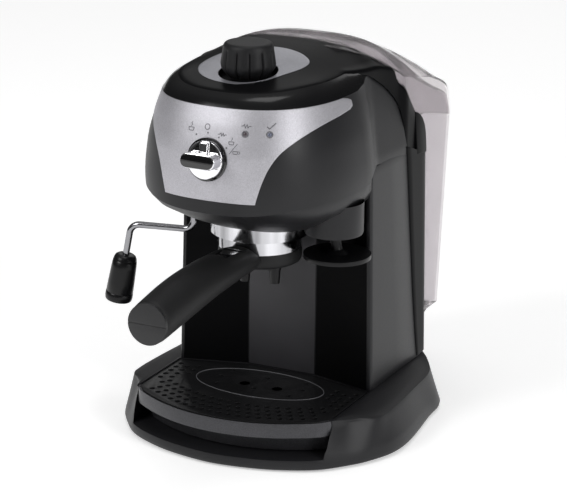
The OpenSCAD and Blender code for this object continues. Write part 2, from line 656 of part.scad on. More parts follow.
module cup_grille() color(black) difference() {
  union() {
    grille_plate();
    for (p = cup_dents) translate([p[0], p[1], deck_z - 4.6]) cylinder(r = 12, h = 3);
  }
  for (p = cup_dents) {
    translate([p[0], p[1], deck_z + 22]) sphere(r = 24.5, $fn = 72);
    translate([p[0], p[1], 20]) cylinder(r = 2, h = 20);
  }
  for (side = [-1, 1], p = [[30, -7], [33, -21], [29, -36]]) translate([side * p[0], p[1], 20])
    cylinder(r = 2, h = 20);
  for (y = [-10.5, -33.5]) translate([0, y, 20]) cylinder(r = 2, h = 20);
}

// ---- Water tank ---------------------------------------------------------------------------------

tank_front = 88;
tank_side = [[tank_front, tank_z], [136, tank_z], [150, 206], [98, 218.6], [tank_front, 218.6]];
tank_hole = [[tank_front + tank_wall, tank_z + tank_wall], [136 - tank_wall, tank_z + tank_wall],
  [150 - tank_wall + 2, 230], [tank_front + tank_wall, 230]];
module along_x(points, half) rotate([90, 0, 90]) translate([0, 0, -half]) linear_extrude(height = 2 * half)
  polygon(points);
hinge = [153, 207.4];
ear_x = [-34, 26];
module water_tank() color(smoke, 0.4) difference() {
  union() {
    along_x(tank_side, tank_half);
    translate([0, valve_y, 54]) cylinder(r = 9, h = tank_z + 0.5 - 54);
    for (x = ear_x) translate([x, 0, 0]) {
      translate([0, hinge[0], hinge[1]]) rotate([0, 90, 0]) cylinder(r = 3, h = 8);
      translate([0, 148.5, 200]) cube([8, 3, 6]);
    }
  }
  along_x(tank_hole, tank_half - tank_wall);
  translate([0, valve_y, 57]) cylinder(r = 7.5, h = 20);
  translate([0, valve_y, 50]) cylinder(r = 2.5 + run, h = 20);
  translate([-50, hinge[0], hinge[1]]) rotate([0, 90, 0]) cylinder(r = 1.5, h = 100);
}
module tank_strainer() color(steel) translate([0, valve_y, tank_z + tank_wall]) difference() {
  cylinder(r = 10, h = 9);
  translate([0, 0, -1]) cylinder(r = 8.8, h = 8.6);
}
module hinge_pin() color(steel) translate([-34, hinge[0], hinge[1]]) rotate([0, 90, 0])
  cylinder(r = 1.5, h = 68);

lid_front = function(x) lookup(abs(x), [[0, 16], [38, 19], [50, 29], [60, 43], [66, 55], [tank_half, 64]]);
lid_rows = 12;
function lid_top_z(x, y) = roof_z(x, y) + 0.2;
function lid_low_z(y) = y < 89 ? slope_z(y) + 1.4 : lookup(y, [[89, 219], [98, 219], [150, 206.4]]);
function lid_slice(x, t) =
  let (y0 = lid_front(x) + t, y1 = 150 - t)
  let (ys = [for (i = [0:lid_rows]) y0 + (y1 - y0) * i / lid_rows])
  concat([for (y = ys) [x, y, max(lid_top_z(x, y) - t, lid_low_z(y) + (t > 0 ? -3 : 0.6))]],
    [for (i = [lid_rows:-1:0]) [x, ys[i], lid_low_z(ys[i]) - (t > 0 ? 4 : 0)]]);
lid_stations = [1, 0.985, 0.93, 0.84, 0.7, 0.53, 0];
module lid_solid(t = 0) loft([for (x = concat(lid_stations, [for (i = [5:-1:0]) -lid_stations[i]]))
  lid_slice(x * (tank_half - t), t)]);
module tank_lid() color(smoke, 0.4) {
  shell_mesh() difference() {
    lid_solid();
    lid_solid(tank_wall);
  }
  difference() {
    union() {
      translate([-25.6, hinge[0], hinge[1]]) rotate([0, 90, 0]) cylinder(r = 3, h = 51.2);
      translate([-25.6, 149, hinge[1] - 0.6]) cube([51.2, 3, 3.6]);
    }
    translate([-50, hinge[0], hinge[1]]) rotate([0, 90, 0]) cylinder(r = 1.5 + run, h = 100);
  }
}
module valve_poppet() color(rubber) translate([0, valve_y, 0]) {
  translate([0, 0, 51.5]) cylinder(r = 2.5, h = 6);
  translate([0, 0, 57.3]) cylinder(r = 5.5, h = 1.9);
}

// Wire spring along Z
module spring(radius, wire, z0, z1, turns) {
  steps = turns * 12;
  hose([for (i = [0:steps]) [radius * cos(30 * i), radius * sin(30 * i),
    z0 + wire + (z1 - z0 - 2 * wire) * i / steps]], wire, 6);
}
module valve_spring() color(steel) translate([0, valve_y, 0]) spring(4.4, 0.5, 59.3, 71.4, 5);

// ---- Pump and wiring ----------------------------------------------------------------------------

pump = [26, 50];
module at_pump() translate([pump[0], pump[1], 0]) children();
module pump_body() color(brass) at_pump() difference() {
  union() {
    translate([0, 0, 72]) cylinder(r = 19, h = 64);
    translate([0, 0, 62]) cylinder(r = 6, h = 84);
  }
  translate([0, 0, 78]) cylinder(r = 5 + run, h = 52);
  translate([0, 0, 60]) cylinder(r = 2.5, h = 20);
  translate([0, 0, 126]) cylinder(r = 2.5, h = 24);
}
module pump_plunger() color(steel) at_pump() translate([0, 0, 88]) difference() {
  cylinder(r = 5, h = 30);
  translate([0, 0, -1]) cylinder(r = 1.5, h = 40);
}
module pump_mounts() color(rubber) at_pump() for (z = [66, 136]) translate([0, 0, z]) difference() {
  cylinder(r = 13, h = 6);
  translate([0, 0, -1]) cylinder(r = 6, h = 8);
}
module pump_bracket() color("silver") at_pump() difference() {
  union() {
    for (z = [63.5, 142]) translate([-15, -15, z]) cube([30, 30, 2.4]);
    translate([-15, -23, 63.5]) cube([30, 2.4, 80.9]);
    for (z = [63.5, 142]) translate([-15, -23, z]) cube([30, 12, 2.4]);
  }
  translate([0, 0, 50]) cylinder(r = 6.2, h = 110);
}
module suction_hose() color("gainsboro") hose(concat(
  bend([0, valve_y, 46.8], [0, valve_y, duct_z], [0, valve_y - 7, duct_z]), [[0, 84, duct_z]],
  bend([0, 76, duct_z], [0, 60, duct_z], [pump[0] / 2, 54, duct_z]),
  bend([pump[0] * 0.7, 51, duct_z + 0.6], [pump[0], 50, duct_z + 1], [pump[0], 50, 54]),
  [[pump[0], 50, 61.8]]), 2.6);
module pressure_hose() color("gainsboro") hose(concat([[pump[0], 50, 146.2]],
  bend([pump[0], 50, 156], [pump[0], 48, 186], [pump[0], 36, 186]),
  [[pump[0], 24, 186], [18.6, 10.6, 186]]), 2.2);
module pump_spring() color(steel) at_pump() spring(3.8, 0.5, 78.1, 87.9, 4);
gland_x = -45;
gland_z = 18;
module cord_gland() color(rubber) translate([gland_x, 0, gland_z]) difference() {
  union() {
    rod_y(8, 92, 103);
    rod_y(11, 102, 104.5);
  }
  rod_y(4, 80, 120);
}
screw_places = [[-60, 60], [60, 60], [-60, 30], [60, 30]];
module housing_screws() color(steel) for (p = screw_places) translate([p[0], p[1], 0]) {
  translate([0, 0, foot_h + 0.1]) cylinder(r = 3.4, h = 1.4);
  translate([0, 0, foot_h + 1.5]) cylinder(r = 1.6, h = 14);
}

base_shell();
bottom_plate();
rubber_feet();
lower_housing();
upper_housing();
top_cover();
control_panel();
knob_inlay();
indicator_lenses();
lamp_board();
lower_shroud();
tamper();
locking_ring();
group_seal();
shower_screen();
shower_screw();
boiler_base();
boiler_gasket();
boiler_top();
heating_element();
boiler_screws();
thermostats();
steam_valve();
steam_pipe();
wand_collar();
selector_switch();
pump_body();
pump_mounts();
pump_bracket();
suction_hose();
pressure_hose();
pump_spring();
cord_gland();
tank_shelf();
tank_socket();
housing_screws();
selector_dial();
dial_inset();
steam_knob();
knob_spindle();
valve_needle();
steam_wand();
frother_sleeve();
filter_holder();
holder_cup();
filter_basket();
spouts();
holder_handle();
handle_cap();
lever_pin();
basket_lever();
drip_tray();
cup_grille();
water_tank();
tank_strainer();
hinge_pin();
tank_lid();
valve_poppet();
valve_spring();
pump_plunger();
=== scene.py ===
"""Looks of the espresso machine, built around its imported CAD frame. The builders work in millimetres."""
import math

import bmesh
import bpy
from mathutils import Matrix, Vector


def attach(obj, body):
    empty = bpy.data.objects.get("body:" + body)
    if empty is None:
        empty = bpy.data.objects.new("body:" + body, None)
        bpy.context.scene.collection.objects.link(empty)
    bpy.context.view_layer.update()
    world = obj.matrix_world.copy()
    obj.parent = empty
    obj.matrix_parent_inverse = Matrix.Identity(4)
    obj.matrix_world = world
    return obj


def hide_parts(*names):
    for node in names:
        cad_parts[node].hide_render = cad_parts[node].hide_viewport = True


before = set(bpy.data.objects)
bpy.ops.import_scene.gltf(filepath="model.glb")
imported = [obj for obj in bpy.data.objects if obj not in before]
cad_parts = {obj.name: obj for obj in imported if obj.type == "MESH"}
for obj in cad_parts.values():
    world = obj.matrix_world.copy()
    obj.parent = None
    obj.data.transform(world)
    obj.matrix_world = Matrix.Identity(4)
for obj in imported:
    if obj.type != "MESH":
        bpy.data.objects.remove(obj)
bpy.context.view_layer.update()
MM = 0.001
MERGE = 0.002     # millimetres within which points are one
DECK_Z = 35       # plane that cups stand on
SEAM_Z = 203      # top of the column's front edge
PANEL_TOP = 258.5  # edge between the control panel and the glossy band
KNOB_Y = -46      # axis of the steam knob
GROUP_Y = -25     # axis of the brewing group
DIAL_Z = 224      # height of the selector dial
LAMP_Z = 243      # height of the two lamps


# ---- Materials ---------------------------------------------------------------------------------

def surface(name, colour, rough, metallic=0.0, vary=0.06, vary_scale=60.0, grain=900.0, bump=0.0,
            rough_vary=0.05, speck=0.0, speck_scale=4000.0, stretch=(1, 1, 1), **sockets):
    """A principled material whose colour, roughness and relief all come from noise."""
    mat = bpy.data.materials.new(name)
    mat.use_nodes = True
    nodes, links = mat.node_tree.nodes, mat.node_tree.links
    shader = nodes["Principled BSDF"]
    coords = nodes.new("ShaderNodeTexCoord")
    mapping = nodes.new("ShaderNodeMapping")
    mapping.inputs["Scale"].default_value = stretch
    links.new(coords.outputs["Object"], mapping.inputs["Vector"])

    def noise(scale, detail=3.0):
        node = nodes.new("ShaderNodeTexNoise")
        node.inputs["Scale"].default_value = scale
        node.inputs["Detail"].default_value = detail
        links.new(mapping.outputs["Vector"], node.inputs["Vector"])
        return node.outputs["Fac"]

    def spread(value, low, high, start=0.3, end=0.7):
        node = nodes.new("ShaderNodeMapRange")
        node.inputs["From Min"].default_value = start
        node.inputs["From Max"].default_value = end
        node.inputs["To Min"].default_value = low
        node.inputs["To Max"].default_value = high
        links.new(value, node.inputs["Value"])
        return node.outputs["Result"]

    ramp = nodes.new("ShaderNodeValToRGB")
    ramp.color_ramp.elements[0].position = 0.3
    ramp.color_ramp.elements[1].position = 0.7
    ramp.color_ramp.elements[0].color = [max(0.0, c * (1 - vary)) for c in colour] + [1]
    ramp.color_ramp.elements[1].color = [min(1.0, c * (1 + vary)) for c in colour] + [1]
    links.new(noise(vary_scale), ramp.inputs["Fac"])
    tint = ramp.outputs["Color"]
    if speck:
        cells = nodes.new("ShaderNodeTexVoronoi")
        cells.inputs["Scale"].default_value = speck_scale
        links.new(mapping.outputs["Vector"], cells.inputs["Vector"])
        grey = nodes.new("ShaderNodeRGBToBW")
        links.new(cells.outputs["Color"], grey.inputs["Color"])
        mix = nodes.new("ShaderNodeMix")
        mix.data_type = "RGBA"
        mix.blend_type = "MULTIPLY"
        mix.inputs["Factor"].default_value = 1.0
        links.new(tint, mix.inputs["A"])
        links.new(spread(grey.outputs["Val"], 1 - speck, 1 + speck, 0.1, 0.9), mix.inputs["B"])
        tint = mix.outputs["Result"]
    links.new(tint, shader.inputs["Base Color"])
    links.new(spread(noise(grain), max(0.0, rough - rough_vary), min(1.0, rough + rough_vary)),
              shader.inputs["Roughness"])
    if bump:
        relief = nodes.new("ShaderNodeBump")
        relief.inputs["Strength"].default_value = bump
        relief.inputs["Distance"].default_value = 0.1 * MM
        links.new(noise(grain, 2.0), relief.inputs["Height"])
        links.new(relief.outputs["Normal"], shader.inputs["Normal"])
    shader.inputs["Metallic"].default_value = metallic
    for key, value in sockets.items():
        shader.inputs[key.replace("_", " ")].default_value = value
    return mat


LOOKS = {
    "satin_black": dict(colour=(0.011, 0.011, 0.0125), rough=0.42, bump=0.25, grain=1500, rough_vary=0.04,
                        Specular_IOR_Level=0.32),
    "matte_black": dict(colour=(0.007, 0.007, 0.008), rough=0.62, bump=0.5, grain=1500,
                        Specular_IOR_Level=0.2),
    "black_plastic": dict(colour=(0.010, 0.010, 0.011), rough=0.45, bump=0.2),
    "rubber": dict(colour=(0.018, 0.018, 0.019), rough=0.75, bump=0.6, grain=1200),
    "silver_panel": dict(colour=(0.50, 0.492, 0.525), rough=0.52, metallic=0.75, speck=0.22, bump=0.25,
                         grain=2600, vary=0.03),
    "grey_inlay": dict(colour=(0.38, 0.38, 0.415), rough=0.36, metallic=0.75, speck=0.2, bump=0.2,
                       grain=2600),
    "lens": dict(colour=(0.06, 0.045, 0.055), rough=0.12, vary=0.2, Coat_Weight=0.6),
    "circuit_board": dict(colour=(0.02, 0.13, 0.06), rough=0.5, vary=0.2),
    "gloss_black": dict(colour=(0.004, 0.004, 0.0045), rough=0.07, rough_vary=0.015, Coat_Weight=0.6,
                        Coat_Roughness=0.03),
    "chrome": dict(colour=(0.82, 0.82, 0.84), rough=0.07, metallic=1.0, vary=0.02, rough_vary=0.02),
    # Painted reflection: this chrome's colour is streaked lighter and darker along its height, standing in
    # for reflected studio streaks
    "chrome_ring": dict(colour=(0.50, 0.50, 0.52), rough=0.16, metallic=1.0, vary=0.55, vary_scale=55,
                        stretch=(1, 1, 0.02), rough_vary=0.03),
    "steel": dict(colour=(0.60, 0.60, 0.61), rough=0.28, metallic=1.0, bump=0.15, stretch=(1, 1, 12)),
    "cast_aluminium": dict(colour=(0.50, 0.50, 0.51), rough=0.5, metallic=0.9, bump=0.6, grain=700),
    "brass": dict(colour=(0.66, 0.47, 0.18), rough=0.3, metallic=1.0, bump=0.2),
    "hose": dict(colour=(0.72, 0.71, 0.68), rough=0.45, vary=0.05, bump=0.2, Subsurface_Weight=0.2),
    "knob_black": dict(colour=(0.009, 0.009, 0.010), rough=0.5, bump=0.5, grain=1800,
                       Specular_IOR_Level=0.28),
    "handle_black": dict(colour=(0.010, 0.010, 0.0105), rough=0.55, bump=0.55, grain=1600,
                         Specular_IOR_Level=0.25),
    "tray_grey": dict(colour=(0.045, 0.045, 0.05), rough=0.38, metallic=0.3, speck=0.35, speck_scale=2600,
                      bump=0.35, grain=2200),
    "smoke_clear": dict(colour=(0.74, 0.71, 0.73), rough=0.14, vary=0.02, rough_vary=0.02,
                        Transmission_Weight=0.92, IOR=1.10),
    "smoke_lid": dict(colour=(0.88, 0.86, 0.87), rough=0.12, vary=0.02, rough_vary=0.02,
                      Transmission_Weight=0.92, IOR=1.08),
    "black_cover": dict(colour=(0.004, 0.004, 0.0045), rough=0.34, bump=0.12, grain=1500, rough_vary=0.03,
                        Specular_IOR_Level=0.04),
    "gloss_band": dict(colour=(0.004, 0.004, 0.0045), rough=0.17, rough_vary=0.02, Specular_IOR_Level=0.24),
    # Painted shade: a near-black copy of the column's plastic, laid on the alcove's angled walls
    "alcove_painted_shade": dict(colour=(0.002, 0.002, 0.0024), rough=0.55, bump=0.2, Specular_IOR_Level=0.06),
    "soft_gloss": dict(colour=(0.005, 0.005, 0.0055), rough=0.30, rough_vary=0.01, grain=200,
                       Specular_IOR_Level=0.25),
    "grille_black": dict(colour=(0.010, 0.010, 0.0108), rough=0.40, bump=0.15, Specular_IOR_Level=0.35),
    "wand_chrome": dict(colour=(0.30, 0.30, 0.315), rough=0.16, metallic=1.0, vary=0.05, rough_vary=0.03),
    # Painted light: a lighter copy of the column's plastic, laid on the alcove's middle panel
    "alcove_painted_light": dict(colour=(0.034, 0.033, 0.037), rough=0.5, bump=0.25, grain=1500),
    "print_grey": dict(colour=(0.13, 0.13, 0.14), rough=0.5),
    "lens_blue": dict(colour=(0.10, 0.11, 0.16), rough=0.12, vary=0.2, Coat_Weight=0.6),
}
M = {name: surface(name, **look) for name, look in LOOKS.items()}
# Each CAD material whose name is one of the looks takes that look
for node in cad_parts.values():
    for index, current in enumerate(node.data.materials):
        label = current.name.split(".")[0] if current else ""
        if label in M:
            node.data.materials[index] = M[label]


# ---- Mesh helpers -------------------------------------------------------------------------------

def table(pairs):
    """A smooth curve through (place, value) pairs, with slopes that never overshoot."""
    xs, ys = [p[0] for p in pairs], [p[1] for p in pairs]
    step = [(ys[i + 1] - ys[i]) / (xs[i + 1] - xs[i]) for i in range(len(xs) - 1)]
    slope = [step[0]] + [0 if a * b <= 0 else 2 * a * b / (a + b)
                         for a, b in zip(step, step[1:])] + [step[-1]]

    def at(x):
        x = min(max(x, xs[0]), xs[-1])
        i = max(k for k in range(len(xs) - 1) if xs[k] <= x or k == 0)
        h = xs[i + 1] - xs[i]
        t = (x - xs[i]) / h
        return ((2 * t ** 3 - 3 * t ** 2 + 1) * ys[i] + (t ** 3 - 2 * t ** 2 + t) * h * slope[i]
                + (3 * t ** 2 - 2 * t ** 3) * ys[i + 1] + (t ** 3 - t ** 2) * h * slope[i + 1])
    return at


def spline(points, steps, closed=False):
    """Points along a Catmull-Rom curve through the given ones."""
    out, n = [], len(points)
    for i in range(n if closed else n - 1):
        p = [Vector(points[(i + k) % n] if closed else points[min(max(i + k, 0), n - 1)])
             for k in (-1, 0, 1, 2)]
        for k in range(steps):
            t = k / steps
            out.append(0.5 * (2 * p[1] + (p[2] - p[0]) * t + (2 * p[0] - 5 * p[1] + 4 * p[2] - p[3]) * t * t
                              + (3 * p[1] - p[0] - 3 * p[2] + p[3]) * t ** 3))
    return out if closed else out + [Vector(points[-1])]


def grid(rows, closed=False):
    """Vertices and quads of equal rows of points."""
    width = len(rows[0])
    faces = [(r * width + c, r * width + (c + 1) % width,
              (r + 1) * width + (c + 1) % width, (r + 1) * width + c)
             for r in range(len(rows) - 1) for c in range(width if closed else width - 1)]
    return [p for row in rows for p in row], faces


def loft(rings, caps=(True, True)):
    verts, faces = grid(rings, closed=True)
    n = len(rings[0])
    if caps[0]:
        faces.append(tuple(range(n - 1, -1, -1)))
    if caps[1]:
        faces.append(tuple(range((len(rings) - 1) * n, len(rings) * n)))
    return verts, faces


def mirrored(half):
    """A whole ring from its +X half, whose first and last points lie on the middle plane."""
    return list(half) + [(-p[0],) + tuple(p[1:]) for p in half[-2:0:-1]]


def spin(profile, steps=72):
    """Turns (radius, height) points about Z."""
    turns = [math.radians(360.0 * k / steps) for k in range(steps)]
    rows = [[(r * math.cos(q), r * math.sin(q), z) for q in turns] for r, z in profile]
    return grid(rows, closed=True)


def placed(shape, move=(0, 0, 0), turn=None):
    matrix = Matrix.Translation(Vector(move)) @ (turn or Matrix.Identity(4))
    return [matrix @ Vector(p) for p in shape[0]], shape[1]


def joined(*shapes):
    verts, faces = [], []
    for v, f in shapes:
        faces += [tuple(i + len(verts) for i in face) for face in f]
        verts += list(v)
    return verts, faces


def finish_piece(obj, body, material, nodes=(), bevel=0.0, segments=2, thick=0.0, angle=32, cutters=()):
    bm = bmesh.new()
    bm.from_mesh(obj.data)
    bmesh.ops.remove_doubles(bm, verts=bm.verts, dist=MERGE * MM)
    bmesh.ops.dissolve_degenerate(bm, edges=bm.edges, dist=0.001 * MM)
    bmesh.ops.recalc_face_normals(bm, faces=bm.faces)
    bm.to_mesh(obj.data)
    bm.free()
    if thick:
        mod = obj.modifiers.new("wall", "SOLIDIFY")
        mod.thickness, mod.offset = thick * MM, -1.0
    for cutter in cutters:
        mod = obj.modifiers.new("cut", "BOOLEAN")
        mod.object, mod.operation, mod.solver = cutter, "DIFFERENCE", "EXACT"
    if bevel:
        mod = obj.modifiers.new("edge", "BEVEL")
        mod.width, mod.segments, mod.limit_method = bevel * MM, segments, "ANGLE"
        mod.angle_limit = math.radians(angle)
        mod.use_clamp_overlap = True
    graph = bpy.context.evaluated_depsgraph_get()
    mesh = bpy.data.meshes.new_from_object(obj.evaluated_get(graph))
    obj.modifiers.clear()
    obj.data = mesh
    mesh.materials.clear()
    mesh.materials.append(M[material])
    mesh.polygons.foreach_set("use_smooth", [True] * len(mesh.polygons))
    mesh.set_sharp_from_angle(angle=math.radians(angle))
    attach(obj, body)
    if nodes:
        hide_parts(*nodes)
    return obj


def solid(name, shape):
    mesh = bpy.data.meshes.new(name)
    mesh.from_pydata([tuple(Vector(p) * MM) for p in shape[0]], [], shape[1])
    obj = bpy.data.objects.new(name, mesh)
    bpy.context.collection.objects.link(obj)
    return obj


def cutter(shape):
    obj = solid("cutter", shape)
    bm = bmesh.new()
    bm.from_mesh(obj.data)
    bmesh.ops.recalc_face_normals(bm, faces=bm.faces)
    bm.to_mesh(obj.data)
    bm.free()
    return obj


def piece(name, shape, body, material, nodes=(), **options):
    return finish_piece(solid(name, shape), body, material, nodes, **options)


def refined(node, body, material, bevel=0.35, **options):
    """A piece grown from a CAD node's faces: flat areas joined, edges rounded, curves shaded smooth."""
    bm = bmesh.new()
    bm.from_mesh(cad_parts[node].data)
    bmesh.ops.remove_doubles(bm, verts=bm.verts, dist=MERGE * MM)
    bmesh.ops.dissolve_limit(bm, angle_limit=math.radians(0.6), verts=bm.verts, edges=bm.edges)
    mesh = bpy.data.meshes.new(node)
    bm.to_mesh(mesh)
    bm.free()
    obj = bpy.data.objects.new("fine_" + node, mesh)
    bpy.context.collection.objects.link(obj)
    return finish_piece(obj, body, material, (node,), bevel=bevel, **options)


def prism(outline, low, high):
    return loft([[(p[0], p[1], low) for p in outline], [(p[0], p[1], high) for p in outline]])


def tube(route, radius, sides=20):
    """A round tube along points, carried without twist."""
    rings, normal = [], Vector((0, 0, 1))
    for i, p in enumerate(route):
        along = (Vector(route[min(i + 1, len(route) - 1)]) - Vector(route[max(i - 1, 0)])).normalized()
        if abs(normal.dot(along)) > 0.95:
            normal = Vector((0, 1, 0)) if abs(along.y) < 0.9 else Vector((1, 0, 0))
        normal = (normal - along * normal.dot(along)).normalized()
        other = along.cross(normal)
        r = radius[i] if isinstance(radius, (list, tuple)) else radius
        rings.append([Vector(p) + r * (math.cos(2 * math.pi * k / sides) * normal
                                       + math.sin(2 * math.pi * k / sides) * other) for k in range(sides)])
    return loft(rings)


# ---- Outlines of the body -----------------------------------------------------------------------

POWER = 2.5
HEAD_Y = -10
head_a = table([(186, 77.4), (200, 78.4), (224, 76.0), (245, 71.0), (258.5, 66.8)])
head_b = table([(186, 97.4), (200, 98), (224, 97), (245, 91.5), (258.5, 85.5)])
valley_x = table([(203, 74.5), (245, 65.4), (268, 59)])
lip_z = table([(-108, 186), (-86, 190.5), (-50, 193), (0, 193)])
roof_mid = table([(-95, 264), (-87, 266.5), (-78, 267.5), (-39, 273), (0, 279), (20, 281.5), (35, 283),
                  (60, 280.5), (85, 270), (115, 250), (135, 236), (145, 226), (150, 211)])
lid_rise = table([(60, 0), (85, 2.5), (100, 6), (115, 8.5), (135, 8), (145, 6), (150, 2)])
crown = table([(-90, 0), (-70, 1), (-33, 10.5), (0, 20), (20, 25), (45, 28), (80, 25), (115, 16), (150, 3)])
slope_z = table([(17, 279), (43, 267), (61, 248), (74, 232), (86, 219)])
lid_front = table([(0, 26.5), (30, 28), (45, 33.4), (58.5, 43), (66, 56), (71.5, 66)])
ROOF_A, ROOF_B = 56.5, 75.5


def column_x(z):
    """Half width of the column."""
    return 78 - 3.5 * (z - DECK_Z) / 168


def seam_z(y):
    """Height of the seam between the column and the housing over it."""
    return SEAM_Z - 11.5 * y / 86


def roof_z(x, y):
    return roof_mid(y) - crown(y) * (abs(x) / 72) ** 3.25


def cover_z(x, y):
    """Height of the roof cover: the roof itself, then the slope that the lid hides."""
    under = min(1.0, max(0.0, (y - lid_front(abs(x)) + 0.5) / 2.5))
    return roof_z(x, y) + (min(roof_z(x, y), slope_z(y)) - roof_z(x, y)) * under


def arc(a, b, q, middle=HEAD_Y):
    """A point of a superellipse, q degrees round from the front."""
    q = math.radians(q)
    return a * max(math.sin(q), 0.0) ** (2 / POWER), middle - b * max(math.cos(q), 0.0) ** (2 / POWER)


def head_point(q, z, out=0.0):
    x, y = arc(head_a(z) + out, head_b(z) + out, q)
    return x, y, z


CREASE = [(59, 0, 267.7), (61.5, 16.4, 263.9), (64, 35.3, 254.4), (66.6, 49.5, 243.6), (68.8, 58.7, 232.4),
          (70.8, 61.5, 221.3), (73, 63.5, 207.4)]
crease_z = table([(p[1], p[2]) for p in CREASE])
crease_x = table([(p[1], p[0]) for p in CREASE])


def shoulder_top(y):
    """Height behind the head where the skin turns over towards the crease."""
    return crease_z(y) - (crease_z(y) - PANEL_TOP) * max(0.0, 1 - y / 30.0) ** 2


def shoulder_x(y, z, reach):
    """Half width behind the head, easing from the head's side into the valley."""
    return valley_x(z) + max(0.0, 1 - y / reach) ** 2 * (head_a(z) - valley_x(z))


def head_rows():
    """Rows of the head's skin from its lower lip to the roof cover's edge, each from front to crease."""
    rows = []
    arcs = [90 * i / 36 for i in range(37)]
    rear = [62 * i / 14 for i in range(1, 15)]
    for k in range(15):
        t = k / 14
        row = []
        for q in arcs:
            low = lip_z(arc(82, 98, q)[1])
            z = low + (PANEL_TOP - low) * t
            row.append(head_point(q, z))
        for y in rear:
            low = seam_z(y)
            z = low + (shoulder_top(y) - low) * t * (0.86 + 0.14 * t)
            row.append((shoulder_x(y, z, 12 + 18 * t * t), y, z))
        rows.append(row)
    for k in range(1, 9):
        t = k / 8
        bulge = math.sin(math.pi * t) * 1.1
        row = []
        for q in arcs:
            x0, y0 = arc(head_a(PANEL_TOP), head_b(PANEL_TOP), q)
            x1, y1 = arc(ROOF_A, ROOF_B, q)
            z1 = roof_z(x1, y1) - 0.4
            x, y = x0 + (x1 - x0) * t, y0 + (y1 - y0) * t
            out = Vector((x, y - HEAD_Y)).normalized() * bulge * 0.7
            row.append((x + out.x, y + out.y, PANEL_TOP + (z1 - PANEL_TOP) * t + bulge))
        for y in rear:
            fade, near = max(0.0, 1 - y / 20.0) ** 2, max(0.0, 1 - y / 30.0) ** 2
            low = Vector((shoulder_x(y, shoulder_top(y), 30), y, shoulder_top(y)))
            high = Vector((valley_x(crease_z(y)) - 1.5 * fade, y, crease_z(y) + 2.5 * fade))
            row.append(tuple(low.lerp(high, t) + Vector((0.7 * bulge * near, 0, bulge * near))))
        rows.append(row)
    return rows


def both_sides(rows):
    """Rows that run from the middle of the front round one side, completed across the middle plane."""
    return [[(-p[0], p[1], p[2]) for p in row[:0:-1]] + list(row) for row in rows]


# ---- Head ---------------------------------------------------------------------------------------

def head():
    rows = both_sides(head_rows())
    piece("head_skin", grid(rows[:15]), "root", "satin_black", ("upper_housing",), thick=2.0, angle=50)
    piece("head_band", grid(rows[14:]), "root", "gloss_band", thick=2.0, angle=50)

    # Silver control panel: rows whose width follows the two sweeping side edges
    width = table([(196.6, 34.5), (210.3, 38.3), (219.4, 41.6), (229.9, 47.4), (238.2, 55.4), (245.1, 63.8),
                   (248.8, 69.0), (252, 72), (258.5, 72)])
    rows = []
    for k in range(45):
        z = 195.4 + (258.3 - 195.4) * k / 44
        a = head_a(z) + 0.1
        share = min(width(z) / a, 0.999)
        tip = 85 - 0.5 * max(0.0, abs(z - 253.3) - 1.5) ** 2 if z > 248 else 85
        top = min(math.degrees(math.asin(share ** (POWER / 2))), tip)
        row = []
        for i in range(31):
            x, y, _ = head_point(top * (i / 30), z, 0.35)
            row.append((x, y, z))
        rows.append(row)
    piece("panel", grid(both_sides(rows)), "root", "silver_panel", ("control_panel",), thick=1.0, bevel=0.35,
          segments=3, angle=40)

    well = cutter(placed(spin([(0, 0), (20.6, 0), (20.6, 40), (0, 40)], 64), (0, KNOB_Y, 250)))
    piece("roof_cover", grid(cover_rows()), "root", "black_cover", ("top_cover",), thick=1.6, bevel=0.4,
          cutters=(well,), angle=50)
    bpy.data.objects.remove(well)
    rows = []
    for r, z in ((5.2, 266.9), (19.2, 266.9), (20.1, 267.8), (20.4, 269), (20.5, 275)):
        row = []
        for k in range(72):
            x, y = 20.5 * math.sin(math.radians(5 * k)), KNOB_Y - 20.5 * math.cos(math.radians(5 * k))
            height = min(z, roof_z(x, y) + 0.1) if z > 270 else z
            row.append((x * r / 20.5, KNOB_Y + (y - KNOB_Y) * r / 20.5, height))
        rows.append(row)
    piece("knob_well", grid(rows, closed=True), "root", "matte_black", thick=0.8)

    # Fins that carry the cover's rear edges round the tank's front corners
    side = [(81, 192), (80, 224), (84, 223), (89, 220.5), (93.5, 216.5), (96.8, 211), (98.2, 204),
            (98.2, 190)]
    for sign, label in ((1, "right"), (-1, "left")):
        fin = loft([[(sign * 72.0, y, z) for y, z in side],
                    [(sign * (75.2 - 2.2 * max(0.0, z - 190) / 34), y, z) for y, z in side]])
        piece("cover_fin_" + label, fin, "root", "black_cover", bevel=0.5, segments=3)

    # Pale inlay round the knob
    outline = spline([(0, -70.6), (6.3, -68.8), (13.7, -62.8), (21.1, -53.6), (27.9, -39.6), (32.6, -26.5),
                      (31.8, -14.5), (22, -4.8), (9, 0.8), (-3, 2.1), (-18, -1.0), (-30, -9), (-38, -21),
                      (-40.5, -36), (-37.5, -49), (-29.4, -60.6), (-16, -68.4)], 6, closed=True)
    rows = []
    for t in (0.0, 0.03, 0.1, 0.3, 0.5, 0.7, 0.85, 0.95, 1.0):
        row = []
        for p in outline:
            way = Vector((p.x, p.y - KNOB_Y)).normalized() * 20.9
            x, y = way.x + (p.x - way.x) * t, KNOB_Y + way.y + (p.y - KNOB_Y - way.y) * t
            row.append((x, y, roof_z(x, y) + 0.45))
        rows.append(row)
    piece("inlay", grid(rows, closed=True), "root", "grey_inlay", ("knob_inlay",), thick=0.7, bevel=0.25,
          angle=40)


